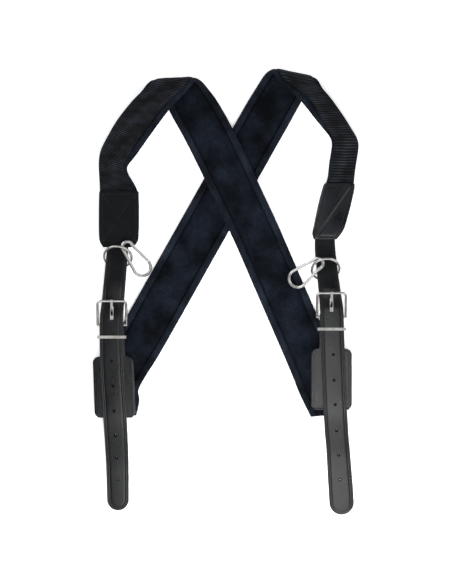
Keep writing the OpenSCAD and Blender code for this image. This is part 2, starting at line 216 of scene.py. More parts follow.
def ribbon_from(stations, step, sigma):
    """A smooth ribbon through [x, y, z, width, bearing, tilt] stations."""
    st = np.asarray(stations, float)
    rows = resample(np.column_stack([st[:, :3], across_at(st), st[:, 3] / 2]), step)
    rows = soften(rows, sigma / step)
    length = np.linalg.norm(rows[:, 3:6], axis=1)
    return Ribbon(rows[:, :3], rows[:, 3:6], rows[:, 6] * length)


def climb(x, y):
    """Height that the left pad gains over the right one."""
    t = (np.hypot(x - CROSSING[0], y - CROSSING[1]) - CROSSING_FLAT) / CROSSING_RAMP
    t = min(max(t, 0), 1)
    return (PAD_T + CROSSING_GAP) * (1 - t * t * (3 - 2 * t))


def pad_stations(side):
    x, y, width, bearing, drift = PAD_FOLD[side]
    stations = []
    for st in spline(PAD_BACK[side], BACK_STEPS[side]):
        rise = climb(st[0], st[1]) if side == "left" else 0
        stations.append([st[0], st[1], REST_Z + rise, *st[3:]])
    b = math.radians(bearing)
    for turn in range(0, 181, 15):
        t = math.radians(turn)
        back, side_step = FOLD_R * (math.sin(t) - 1), drift * (turn - 90) / 90
        stations.append([x - math.sin(b) * back + math.cos(b) * side_step,
                         y + math.cos(b) * back + math.sin(b) * side_step,
                         REST_Z + FOLD_R * (1 - math.cos(t)),
                         width - FOLD_PULL * math.sin(t) ** 4, bearing, 0])
    stations += [list(st) for st in spline(PAD_FRONT[side], 2)]
    return stations


WAVE_COUNT = 6
WAVE_PEAK = 2.2


def waves(s, a, seed, longest):
    """Smooth random ripples from a few sine waves, between about -1 and 1."""
    rng = np.random.default_rng(seed)
    total = 0
    for k in range(WAVE_COUNT):
        angle, phase = rng.uniform(0, math.pi), rng.uniform(0, 2 * math.pi)
        length = longest / (1 + 0.7 * k)
        total = total + np.sin(2 * math.pi * (s * math.cos(angle) + a * math.sin(angle)) / length
                               + phase) / (1 + 0.5 * k)
    return total / WAVE_PEAK


def side_seed(side, first):
    """A random seed of a side's own, counted from the left side's."""
    return first + SIDES.index(side)


# ---------------------------------------------------------------- meshes


def new_piece(name, verts, faces, material, uv=None, wear_and_highlight=None, smooth=True):
    """A mesh object in metres. uv is one pair in millimetres, and the per-vertex value, one for
    each vertex, lightens the colour: rubbing plus painted highlight on leather edges, painted
    highlight on webbing rib tops.
    """
    mesh = bpy.data.meshes.new(name)
    mesh.from_pydata((np.asarray(verts) * MM).tolist(), [], faces)
    if uv is not None:
        layer = mesh.uv_layers.new(name="UVMap")
        index = np.zeros(len(mesh.loops), int)
        mesh.loops.foreach_get("vertex_index", index)
        layer.data.foreach_set("uv", (np.asarray(uv)[index] * MM).ravel())
    attribute = mesh.attributes.new("wear_and_highlight", "FLOAT", "POINT")
    if wear_and_highlight is not None:
        attribute.data.foreach_set("value", np.asarray(wear_and_highlight, np.float32).ravel())
    mesh.update()
    if smooth:
        mesh.polygons.foreach_set("use_smooth", np.ones(len(mesh.polygons), bool))
    mesh.materials.append(material)
    piece = bpy.data.objects.new(name, mesh)
    SCENE.collection.objects.link(piece)
    return piece


def tube_faces(rows, columns, start=0):
    """Quads round a closed tube with a fan of triangles at each end; two centre points follow."""
    r, c = np.meshgrid(np.arange(rows - 1), np.arange(columns), indexing="ij")
    a = start + r * columns + c
    b = start + r * columns + (c + 1) % columns
    faces = np.stack([a, b, b + columns, a + columns], -1).reshape(-1, 4).tolist()
    first, last = start + rows * columns, start + rows * columns + 1
    end = start + (rows - 1) * columns
    for k in range(columns):
        n = (k + 1) % columns
        faces.append([first, start + n, start + k])
        faces.append([last, end + k, end + n])
    return faces


def tube_points(rows):
    """Flat vertex list of a tube, with the centre of each end added."""
    flat = rows.reshape(-1, rows.shape[-1])
    return np.vstack([flat, rows[0].mean(0), rows[-1].mean(0)])


def sweep(name, ribbon, a, h, material, wear_and_highlight=None):
    """A closed tube along a ribbon, from its profile distances a and heights h."""
    points = tube_points(ribbon.place(a, h))
    s = np.repeat(ribbon.s[:, None], a.shape[1], 1)
    uv = tube_points(np.stack([s, a], -1))
    values = None if wear_and_highlight is None else tube_points(wear_and_highlight[..., None])
    return new_piece(name, points, tube_faces(*a.shape), material, uv, values)


def joined(name, pieces):
    """Joins objects into the first one and names it."""
    with bpy.context.temp_override(active_object=pieces[0], selected_editable_objects=pieces,
                                   selected_objects=pieces):
        bpy.ops.object.join()
    pieces[0].name = name
    return pieces[0]


SHARP_ANGLE = math.radians(40)


def cut(piece, cutters):
    """Boolean difference, applied, and the cutters removed. The cut faces are near black: painted
    shade in the holes and slots.
    """
    cutter = joined(piece.name + "_cutter", cutters) if len(cutters) > 1 else cutters[0]
    modifier = piece.modifiers.new("cut", "BOOLEAN")
    modifier.operation, modifier.object, modifier.solver = "DIFFERENCE", cutter, "EXACT"
    modifier.material_mode = "TRANSFER"
    cutter.data.materials.clear()
    cutter.data.materials.append(CUT_FACE_SHADE)
    bake(piece)
    bpy.data.objects.remove(cutter)
    piece.data.set_sharp_from_angle(angle=SHARP_ANGLE)


def bake(piece):
    """Replaces a piece's mesh with the result of its modifiers."""
    bpy.context.view_layer.update()
    evaluated = piece.evaluated_get(bpy.context.evaluated_depsgraph_get())
    mesh = bpy.data.meshes.new_from_object(evaluated)
    piece.modifiers.clear()
    old = piece.data
    piece.data = mesh
    mesh.name = piece.name
    bpy.data.meshes.remove(old)


def dress(piece, body, slot, *nodes):
    """Puts a piece on a body, in place of CAD nodes. slot is not used."""
    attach(piece, body)
    if nodes:
        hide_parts(*nodes)
    return piece


# ---------------------------------------------------------------- stitches

STITCH_SIDES = 6
STITCH_WANDER = 0.05
# Rings of one stitch: place along its length, size, and height over its middle, in radii.
STITCH_RINGS = ((-0.5, 0.25, -0.5), (-0.42, 0.8, -0.1), (-0.15, 1.0, 0.22), (0.15, 1.0, 0.22),
                (0.42, 0.8, -0.1), (0.5, 0.25, -0.5))


def stitches(name, runs, material, pitch=4.2, length=2.6, radius=0.45, seed=1):
    """Thread along runs of (points, normals): each stitch is a capsule that dips at both ends."""
    rng = np.random.default_rng(seed)
    verts, faces, uv = [], [], []
    angles = np.arange(STITCH_SIDES) * 2 * math.pi / STITCH_SIDES
    ring = np.array(STITCH_RINGS)
    for points, normals in runs:
        d = along(points)
        count = max(1, int(d[-1] / pitch))
        for k in range(count):
            s = (k + 0.5) * d[-1] / count
            ends = np.array([s - length / 2, s, s + length / 2]).clip(0, d[-1])
            p = np.column_stack([np.interp(ends, d, points[:, j]) for j in range(3)])
            n = unit(np.array([np.interp(s, d, normals[:, j]) for j in range(3)]))
            t = unit(p[2] - p[0])
            side = unit(np.cross(n, t))
            t = unit(t + side * rng.normal(0, STITCH_WANDER))
            around = side[None] * np.cos(angles)[:, None] + n[None] * np.sin(angles)[:, None]
            rows = (p[1] + t * (ring[:, 0, None] * length) + n * (ring[:, 2, None] * radius))
            rows = rows[:, None] + around[None] * (ring[:, 1, None, None] * radius)
            faces += tube_faces(len(ring), STITCH_SIDES, sum(len(v) for v in verts))
            verts.append(tube_points(rows))
            flat = np.stack(np.broadcast_arrays(s + ring[:, 0, None] * length,
                                                angles[None] * radius), -1)
            uv.append(tube_points(flat))
    return new_piece(name, np.vstack(verts), faces, material, np.vstack(uv))


# ---------------------------------------------------------------- materials


class Nodes:
    """Short names for building a material's nodes."""

    def __init__(self, name):
        self.material = bpy.data.materials.new(name)
        self.material.use_nodes = True
        self.tree = self.material.node_tree
        self.shader = self.tree.nodes["Principled BSDF"]
        self.place = self.add("ShaderNodeTexCoord")

    def add(self, kind, inputs=None, **settings):
        node = self.tree.nodes.new(kind)
        for key, value in settings.items():
            setattr(node, key, value)
        for key, value in (inputs or {}).items():
            if isinstance(value, bpy.types.NodeSocket):
                self.tree.links.new(value, node.inputs[key])
            else:
                node.inputs[key].default_value = value
        return node

    def link(self, source, target):
        self.tree.links.new(source, target)

    def noise(self, scale, detail=3.0, rough=0.55, vector=None):
        vector = vector or self.place.outputs["Object"]
        inputs = {"Vector": vector, "Scale": scale, "Detail": detail, "Roughness": rough}
        return self.add("ShaderNodeTexNoise", inputs).outputs["Fac"]

    def cells(self, scale):
        inputs = {"Vector": self.place.outputs["Object"], "Scale": scale}
        return self.add("ShaderNodeTexVoronoi", inputs).outputs["Distance"]

    def remap(self, value, low, high, to_low=0.0, to_high=1.0):
        inputs = {"Value": value, "From Min": low, "From Max": high, "To Min": to_low,
                  "To Max": to_high}
        return self.add("ShaderNodeMapRange", inputs).outputs["Result"]

    def maths(self, operation, a, b=0.0):
        return self.add("ShaderNodeMath", {0: a, 1: b}, operation=operation).outputs[0]

    def blend(self, factor, a, b):
        """A mix of two colours, which are inputs 6 and 7 and output 2 of a colour Mix node."""
        inputs = {"Factor": factor, 6: a, 7: b}
        return self.add("ShaderNodeMix", inputs, data_type="RGBA").outputs[2]

    def split_uv(self):
        """Metres along the piece, and across it."""
        split = self.add("ShaderNodeSeparateXYZ", {0: self.place.outputs["UV"]})
        return split.outputs["X"], split.outputs["Y"]

    def stripes(self, distance, turns):
        """A sine along a distance, turns being radians a metre."""
        return self.maths("SINE", self.maths("MULTIPLY", distance, turns))

    def bump(self, height, distance, strength=1.0, normal=None):
        inputs = {"Height": height, "Distance": distance, "Strength": strength}
        if normal is not None:
            inputs["Normal"] = normal
        return self.add("ShaderNodeBump", inputs).outputs["Normal"]

    # The per-vertex value that lightens a colour: rubbing plus painted highlight on leather edges,
    # painted highlight on webbing rib tops.
    def wear_and_highlight(self):
        return self.add("ShaderNodeAttribute", attribute_name="wear_and_highlight").outputs["Fac"]

    def set(self, **values):
        for key, value in values.items():
            socket = self.shader.inputs[key.replace("_", " ")]
            if isinstance(value, bpy.types.NodeSocket):
                self.link(value, socket)
            else:
                socket.default_value = value
        return self.material


def rgb(r, g, b):
    """A colour given as 0-255 display values, made linear."""
    def linear(c):
        c /= 255
        return c / 12.92 if c <= 0.04045 else ((c + 0.055) / 1.055) ** 2.4
    return (linear(r), linear(g), linear(b), 1.0)


def velour(name, dark, light):
    """Plush pile: brushed patches that lie different ways, and a fine nap."""
    n = Nodes(name)
    brushed = n.remap(n.noise(30, 4, 0.6), 0.36, 0.68)
    nap = n.noise(420, 4, 0.7)
    tone = n.maths("MULTIPLY", brushed, n.remap(nap, 0.3, 0.75, 0.35, 1.3))
    pile = n.bump(n.noise(1500, 2, 0.6), 0.0005, 0.9)
    soft = n.bump(brushed, 0.0008, 0.4, pile)
    return n.set(Base_Color=n.blend(tone, dark, light), Roughness=0.95, Normal=soft,
                 Specular_IOR_Level=0.05, Sheen_Weight=0.05, Sheen_Roughness=0.4,
                 Sheen_Tint=(0.6, 0.7, 0.95, 1.0))


# Radians a metre: the yarns across and along the webbing, and the twist along and round a thread.
YARN_ACROSS, YARN_ALONG = 5200.0, 7600.0
TWIST_ALONG, TWIST_ROUND = 9000.0, 4000.0


def woven(name, dark, light):
    """Woven webbing: yarns along and across, over ribs that the mesh already has."""
    n = Nodes(name)
    along_it, across_it = n.split_uv()
    yarn = n.maths("MULTIPLY", n.stripes(across_it, YARN_ACROSS), n.stripes(along_it, YARN_ALONG))
    fuzz = n.noise(700, 3, 0.65)
    worn = n.remap(n.noise(34, 3, 0.6), 0.3, 0.7, 0.55, 1.1)
    # Rib tops are painted lighter and the grooves darker: painted highlight and painted shade. worn
    # adds random patches.
    tone = n.maths("MULTIPLY", n.remap(n.wear_and_highlight(), 0.55, 1.0), worn)
    tone = n.maths("MULTIPLY", tone, n.remap(n.maths("ADD", yarn, fuzz), -0.6, 1.6, 0.5, 1.3))
    rough = n.remap(n.noise(60), 0.3, 0.7, 0.68, 0.85)
    bumped = n.bump(yarn, 0.00022, 0.8, n.bump(fuzz, 0.0003, 0.4))
    return n.set(Base_Color=n.blend(tone, dark, light), Roughness=rough, Normal=bumped,
                 Specular_IOR_Level=0.12, Sheen_Weight=0.03, Sheen_Roughness=0.5)


def leather(name, dark, light, edge, gloss=(0.26, 0.34), specular=0.2):
    """Finished leather: pebbled grain, fine wrinkles, uneven dye, and edges lighter from rubbing
    plus a painted highlight.
    """
    n = Nodes(name)
    cells = n.cells(980)
    fine = n.noise(1900, 3, 0.6)
    wrinkles = n.noise(150, 5, 0.65)
    dye = n.remap(n.noise(26, 3, 0.6), 0.32, 0.7)
    body = n.blend(n.maths("MULTIPLY", dye, n.remap(wrinkles, 0.3, 0.7, 0.5, 1.1)), dark, light)
    rub_and_highlight = n.maths("MULTIPLY", n.wear_and_highlight(), n.remap(n.noise(210, 4, 0.7), 0.38, 0.62, 0.25, 1.0))
    grain = n.bump(n.remap(cells, 0.0, 0.55), 0.00015, 0.3,
                   n.bump(wrinkles, 0.0005, 0.25, n.bump(fine, 0.00012, 0.3)))
    rough = n.maths("ADD", n.remap(dye, 0.0, 1.0, *gloss), n.remap(cells, 0.0, 0.6, 0.1, 0.0))
    return n.set(Base_Color=n.blend(rub_and_highlight, body, edge), Roughness=rough, Normal=grain,
                 Specular_IOR_Level=specular)


def thread(name, dark, light):
    """Waxed thread with its twist."""
    n = Nodes(name)
    along_it, round_it = n.split_uv()
    twist = n.maths("SINE", n.maths("ADD", n.maths("MULTIPLY", along_it, TWIST_ALONG),
                                    n.maths("MULTIPLY", round_it, TWIST_ROUND)))
    return n.set(Base_Color=n.blend(n.remap(twist, -1.0, 1.0), dark, light), Roughness=0.7,
                 Normal=n.bump(twist, 0.0002, 0.7), Specular_IOR_Level=0.08)


def plated(name, tint, smear):
    """Nickel-plated steel: clouded plating, hairline scratches and small dings."""
    n = Nodes(name)
    cloud = n.noise(120, 4, 0.6)
    stretched = n.add("ShaderNodeMapping", {"Vector": n.place.outputs["Object"],
                                            "Scale": (1.0, 1.0, 9.0)}).outputs["Vector"]
    scratch = n.remap(n.noise(900, 2, 0.8, stretched), 0.62, 0.72)
    ding = n.bump(n.remap(n.cells(260), 0.0, 0.25), 0.00005, 0.25)
    return n.set(Base_Color=n.blend(n.remap(cloud, 0.35, 0.7), tint, smear), Metallic=1.0,
                 Roughness=n.maths("ADD", n.remap(cloud, 0.3, 0.7, 0.05, 0.13),
                                   n.maths("MULTIPLY", scratch, 0.12)),
                 Normal=n.bump(scratch, 0.00003, 0.3, ding))


PLUSH = velour("plush", rgb(5, 7, 10), rgb(25, 30, 40))
BORDER = velour("plush_border", rgb(11, 13, 18), rgb(34, 40, 50))
# Webbing: the dark colour is painted shade in the rib grooves, the light one painted highlight on
# the rib tops.
RIBBED = woven("ribbed_webbing", rgb(2, 2, 3), rgb(54, 59, 68))
# The third colour of each leather is its edges, lighter from rubbing plus a painted highlight.
STRAP_LEATHER = leather("strap_leather", rgb(3, 4, 5), rgb(11, 12, 15), rgb(52, 54, 58))
LOOP_LEATHER = leather("loop_leather", rgb(5, 6, 7), rgb(17, 19, 22), rgb(58, 60, 64))
PATCH_LEATHER = {
    "left": leather("patch_leather", rgb(3, 4, 6), rgb(10, 13, 17), rgb(46, 50, 56),
                    (0.6, 0.75), 0.1),
    "right": leather("patch_leather_satin", rgb(7, 8, 11), rgb(22, 25, 31), rgb(70, 74, 80)),
}
BLACK_THREAD = thread("black_thread", rgb(1, 1, 2), rgb(10, 10, 12))
PATCH_THREAD = thread("patch_thread", rgb(22, 22, 22), rgb(62, 60, 56))
# Near black for every cut face: painted shade in the holes, the prong's slot and the loop's cut.
CUT_FACE_SHADE = leather("cut_face_shade", rgb(1, 1, 1), rgb(4, 4, 5), rgb(8, 8, 9), (0.8, 0.95), 0.05)
PLATING = plated("nickel_plating", rgb(178, 177, 175), rgb(150, 149, 146))

# ---------------------------------------------------------------- pads

# Height of the seams beside the borders, and of the panel's crown above them.
SEAM_H = -0.9
FACE_CROWN = 4.0
SEAM_GAP = 0.7
# How far the panel's backing reaches out under the borders.
BACKING_LAP = 5.0
# Row spacing of the simulated panel, of the borders and of the webbing's cords.
PANEL_STEP, BORDER_STEP, CORD_STEP = 4.0, 2.4, 0.5
PANEL_COLUMNS, BACKING_COLUMNS, ROLL_COLUMNS = 23, 7, 18
# Smoothing of a pad's course, in millimetres along it.
PAD_SIGMA = 4.5
# The seam gathers the cloth beside it at this pitch.
PUCKER_PITCH = 8.5
PUCKER_H = 0.22
# How far the filling may push the panel, and the frames that it is given.
SWELL = 2.4
LAST_FRAME = 20


def inflate(piece, free):
    """Cloth simulation under pressure, applied. Points that aren't free stay where they are."""
    before = np.array([v.co for v in piece.data.vertices])
    pinned = piece.vertex_groups.new(name="pinned")
    pinned.add([int(i) for i in np.where(~free)[0]], 1.0, "REPLACE")
    cloth = piece.modifiers.new("fill", "CLOTH")
    settings = cloth.settings
    settings.quality = 4
    settings.mass = 0.25
    settings.tension_stiffness = settings.compression_stiffness = 12
    settings.shear_stiffness = 4
    settings.bending_stiffness = 0.2
    settings.shrink_min = -0.03
    settings.use_pressure = True
    settings.uniform_pressure_force = 4
    settings.vertex_group_mass = "pinned"
    settings.pin_stiffness = 2
    settings.effector_weights.gravity = 0
    cloth.collision_settings.use_collision = False
    cloth.point_cache.frame_start, cloth.point_cache.frame_end = 1, LAST_FRAME
    for number in range(1, LAST_FRAME + 1):
        SCENE.frame_set(number)
    evaluated = piece.evaluated_get(bpy.context.evaluated_depsgraph_get())
    after = np.array([v.co for v in evaluated.data.vertices])
    moved = after - before
    length = np.linalg.norm(moved, axis=1, keepdims=True)
    cap = SWELL * MM
    moved *= cap * np.tanh(length / cap) / np.maximum(length, 1e-9)
    moved[~free] = 0
    piece.modifiers.clear()
    piece.vertex_groups.clear()
    piece.data.vertices.foreach_set("co", (before + moved).ravel())
    piece.data.update()
    SCENE.frame_set(1)


def pad_face(side, ribbon):
    """The crowned plush panel between the two sewn borders."""
    x = np.sin(np.linspace(-1, 1, PANEL_COLUMNS) * math.pi / 2)
    seam = ribbon.half[:, None] - BORDER_W - SEAM_GAP
    top_a = seam * x[None]
    s = np.repeat(ribbon.s[:, None], len(x), 1)
    near = np.exp(-(seam - np.abs(top_a)) / 5.0)
    gather = 2 * math.pi * s / PUCKER_PITCH + 2.2 * waves(s, top_a, 3, 60)
    pucker = np.sin(gather) * near * PUCKER_H
    broad = waves(s, top_a, side_seed(side, 11), 95) * 0.3 * (1 - near)
    top_h = SEAM_H + FACE_CROWN * (1 - np.abs(x[None]) ** 4) ** 0.75 + pucker + broad
    under_x = np.linspace(1, -1, BACKING_COLUMNS)
    under_a = (seam + SEAM_GAP + BACKING_LAP) * under_x[None]
    under_h = np.full_like(under_a, -PAD_T / 2 + WEB_T + 0.1)
    a, h = np.hstack([top_a, under_a]), np.hstack([top_h, under_h])
    piece = sweep(f"{side}_pad_face", ribbon, a[:, ::-1], h[:, ::-1], PLUSH)
    free = np.zeros_like(a, bool)
    free[2:-2, 2:len(x) - 2] = True
    inflate(piece, np.append(free[:, ::-1].ravel(), [False, False]))
    piece.modifiers.new("smooth", "SUBSURF").levels = 1
    bake(piece)
    return piece


def pad_border(side, ribbon):
    """The two rolled borders, puckered by the seam that holds them."""
    angle = np.arange(ROLL_COLUMNS) * 2 * math.pi / ROLL_COLUMNS
    cos, sin = np.cos(angle), np.sin(angle)
    wide = (BORDER_W - SEAM_GAP) / 2
    rolls = []
    for sign, seed in ((-1, 5), (1, 6)):
        a = (sign * (ribbon.half[:, None] - wide + 0.2)
             + wide * np.sign(cos) * np.abs(cos) ** 0.85)
        s = np.repeat(ribbon.s[:, None], len(angle), 1)
        tall = (2.55 + PUCKER_H * waves(s, a, seed, 70)
                + 0.12 * np.sin(2 * math.pi * s / PUCKER_PITCH))
        h = 0.15 + tall * np.sign(sin) * np.abs(sin) ** 0.8
        rolls.append(sweep(f"{side}_roll_{seed}", ribbon, a, h, BORDER))
    return joined(f"{side}_pad_border", rolls)


# Ribs of the webbing: their pitch, how far they run on for each millimetre across, and depth.
RIB_PITCH = {"left": 3.0, "right": 4.0}
RIB_SLANT = {"left": -0.22, "right": 0.0}
RIB_DEPTH = 1.0
# Plush that shows beside the front webbing's inner edge, at the fold and at the knee below it.
INNER_PLUSH = {"left": (10.0, 3.5, 110.0), "right": (13.0, 2.5, 55.0)}
OUTER_PLUSH = 1.4
# Length after the fold over which the webbing shifts outwards, and before the knee's own change.
SHIFT_RUN, KNEE_RUN = 40.0, 60.0
WEB_COLUMNS = 19


def smooth_step(t):
    t = np.clip(t, 0, 1)
    return t * t * (3 - 2 * t)


def pad_webbing(side, ribbon):
    """Ribbed webbing: rounded cords across the band, with a flat selvedge at each side."""
    from_fold = ribbon.s - ribbon.s[np.argmax(ribbon.middle[:, 1])]
    front = smooth_step(from_fold / SHIFT_RUN)
    at_fold, at_knee, knee = INNER_PLUSH[side]
    inner = at_fold + (at_knee - at_fold) * smooth_step((from_fold - knee) / KNEE_RUN)
    even = ribbon.half * WEB_SHARE
    inner_edge = even * (1 - front) + (ribbon.half - inner) * front
    outer_edge = even * (1 - front) + (ribbon.half - OUTER_PLUSH) * front
    low_edge, high_edge = (outer_edge, inner_edge) if side == "left" else (inner_edge, outer_edge)
    x = np.sin(np.linspace(-1, 1, WEB_COLUMNS) * math.pi / 2)

    def spread(at):
        share = (at[None] + 1) / 2
        return -low_edge[:, None] * (1 - share) + high_edge[:, None] * share

    a = spread(x)
    s = np.repeat(ribbon.s[:, None], len(x), 1)
    slanted = s + a * RIB_SLANT[side] + 0.6 * waves(s, a, 21, 90)
    turns = slanted / RIB_PITCH[side]
    rib = np.abs(np.sin(math.pi * turns)) ** 0.8
    strong = 0.8 + 0.2 * waves(s, a, 22, 40)
    inside = np.clip((1 - np.abs(x[None])) * 12, 0.15, 1)
    low = -PAD_T / 2 + RIB_DEPTH * (1 - rib * strong * inside) - 0.25
    under_a = spread(np.linspace(1, -1, 5) * 0.985)
    under_h = np.full_like(under_a, -PAD_T / 2 + WEB_T)
    # Lighter colour on the rib tops, none in the grooves: painted highlight and painted shade.
    wear_and_highlight = np.hstack([rib * strong, np.zeros_like(under_a)])
    return sweep(f"{side}_pad_webbing", ribbon, np.hstack([a, under_a]),
                 np.hstack([low, under_h]), RIBBED, wear_and_highlight)


SEAM_TRIM = 6
SEAM_THREAD_LIFT = 0.7


def seam_runs(ribbon, inset, height):
    """Stitch lines along both edges of a ribbon, without its first and last rows."""
    keep = slice(SEAM_TRIM, len(ribbon.s) - SEAM_TRIM)
    runs = []
    for sign in (-1, 1):
        a = sign * (ribbon.half + inset)
        points = ribbon.middle + ribbon.across * a[:, None] + ribbon.normal * height
        runs.append((points[keep], ribbon.normal[keep]))
    return runs


def make_pad(side):
    stations = pad_stations(side)
    panel, coarse, fine = (ribbon_from(stations, step, PAD_SIGMA)
                           for step in (PANEL_STEP, BORDER_STEP, CORD_STEP))
    face = dress(pad_face(side, panel), "harness", "velour",
                 f"{side}_pad_liner", f"{side}_pad_core")
    dress(pad_border(side, coarse), "harness", "velour_border", f"{side}_pad_binding")
    dress(pad_webbing(side, fine), "harness", "webbing", f"{side}_pad_webbing")
    runs = seam_runs(coarse, -BORDER_W - SEAM_GAP / 2, SEAM_H + SEAM_THREAD_LIFT)
    dress(stitches(f"{side}_pad_stitches", runs, BLACK_THREAD, length=3.0, radius=0.36),
          "harness", "velour_border")


# ---------------------------------------------------------------- leather

# Angles of a leather edge's rounding, from its top side to its underside.
ROUNDING = np.radians([62, 35, 8, -20, -50, -78])
UNDER_COLUMNS = 9


def band(name, ribbon, half, thickness, material, relief, offsets, round_r):
    """Leather with rounded edges. relief(s, d, a) is what its top gains, d being the distance in
    from the edge. offsets are where the top's points lie, in from where the rounding ends."""
    rows = len(ribbon.s)
    inward = np.array(sorted(offsets))
    r = np.minimum(round_r, half * 0.5)[:, None]
    scale = np.minimum(1, (half[:, None] - r) / (inward[-1] + 1))
    d = r + inward[None] * scale
    top_left, top_right = -half[:, None] + d, half[:, None] - d
    top_a = np.hstack([top_left, np.zeros((rows, 1)), top_right[:, ::-1]])
    s = np.repeat(ribbon.s[:, None], top_a.shape[1], 1)
    top_h = thickness / 2 + relief(s, half[:, None] - np.abs(top_a), top_a)
    side_a = half[:, None] - r + r * np.cos(ROUNDING)[None]
    side_h = np.repeat((thickness / 2 * np.sin(ROUNDING))[None], rows, 0)
    under_a = (half[:, None] - r) * np.linspace(1, -1, UNDER_COLUMNS)[None] * 0.96
    under_h = np.full_like(under_a, -thickness / 2)
    a = np.hstack([top_a, side_a, under_a, -side_a[:, ::-1]])
    h = np.hstack([top_h, side_h, under_h, side_h[:, ::-1]])
    # Edges lighter on their upper half only: rubbing plus a painted highlight where the rounding
    # faces up.
    rub_and_highlight = np.exp(-np.maximum(half[:, None] - np.abs(a) - 0.3, 0) / 0.5)
    rub_and_highlight = rub_and_highlight * (h > -thickness * 0.3)
    return sweep(name, ribbon, a[:, ::-1], h[:, ::-1], material, rub_and_highlight[:, ::-1])


def groove(d, where, width, depth):
    return -depth * np.exp(-((d - where) / width) ** 2)


TOP_OFFSETS = (0.0, 0.5, 0.9, 1.2, 1.5, 1.9, 2.6, 3.1, 3.5, 3.9, 4.4, 5.4, 7.5, 10.0, 12.5)
# The strap's crease and stitches, in from its edge.
CREASE_AT, STITCH_AT = 2.4, 4.9
THREAD_SINK = 0.1
# A hole's full width ends this far below its cutter's middle. Below it a narrow hole leaves a
# floor, and that floor and the walls are near black as painted shade in the hole.
HOLE_CUT_H, HOLE_STEP, SHADED_FLOOR_HOLE_R = 12.0, 5.2, 0.5
HOLE_SIDES = 28
SLOT_REACH = 8
STRAP_STEP, TIP_ROWS = 1.1, 15
TIP_STITCH_POINTS = 40
# The strap runs in easier curves below this point. Both smoothings are in rows.
LOW_STRAP_V = -105
STRAP_SOFTNESS, LOW_STRAP_SOFTNESS = 2.0, 8.0


def strap_ribbon(side):
    """The long strap as rows straight across, with its half width, round tip included."""
    hip_y = HIP[side][1]
    plan = spline(STRAP_LINE[side], 8)
    height = spline(STRAP_TOP[side] + STRAP_REST_OF_WAY, 8)
    tip_y, tip_r = plan[-1][1], plan[-1][2] / 2
    bend = np.linspace(0, math.pi / 2, TIP_ROWS + 1)[1:]
    y = np.concatenate([np.arange(plan[0][1], tip_y, -STRAP_STEP),
                        tip_y - tip_r * np.sin(bend) * 0.999])
    order = np.argsort(plan[:, 1])
    x = np.interp(y, plan[order, 1], plan[order, 0])
    half = np.interp(y, plan[order, 1], plan[order, 2]) / 2
    past = np.clip((tip_y - y) / tip_r, 0, 1)
    half = np.where(past > 0, tip_r * np.sqrt(1 - past ** 2), half)
    order = np.argsort(height[:, 0])
    z = np.interp(y - hip_y, height[order, 0], height[order, 1])
    down = y < hip_y + LOW_STRAP_V
    z[:-TIP_ROWS] = soften(z[:-TIP_ROWS], STRAP_SOFTNESS)
    z[down] = soften(z[down], LOW_STRAP_SOFTNESS)
    ribbon = Ribbon(np.column_stack([x, y, z]), np.tile([-1.0, 0, 0], (len(y), 1)), half)
    ribbon.tip = (x[-TIP_ROWS - 1], tip_y, tip_r)
    return ribbon


def slot_cutter(side):
    """A prism of the prong's oblong hole."""
    hip_x, hip_y = HIP[side]
    turn = np.radians(np.arange(0, 181, 15))
    arc = np.column_stack([np.cos(turn), np.sin(turn)]) * PRONG_SLOT_R
    outline = np.vstack([arc + [0, PRONG_SLOT_V[1]], -arc + [0, PRONG_SLOT_V[0]]]) + [hip_x, hip_y]
    rows = np.array([[[x, y, STRAP_REST + z] for x, y in outline]
                     for z in (-SLOT_REACH, SLOT_REACH)])
    return new_piece("slot_cutter", tube_points(rows), tube_faces(2, len(outline)), CUT_FACE_SHADE,
                     smooth=False)


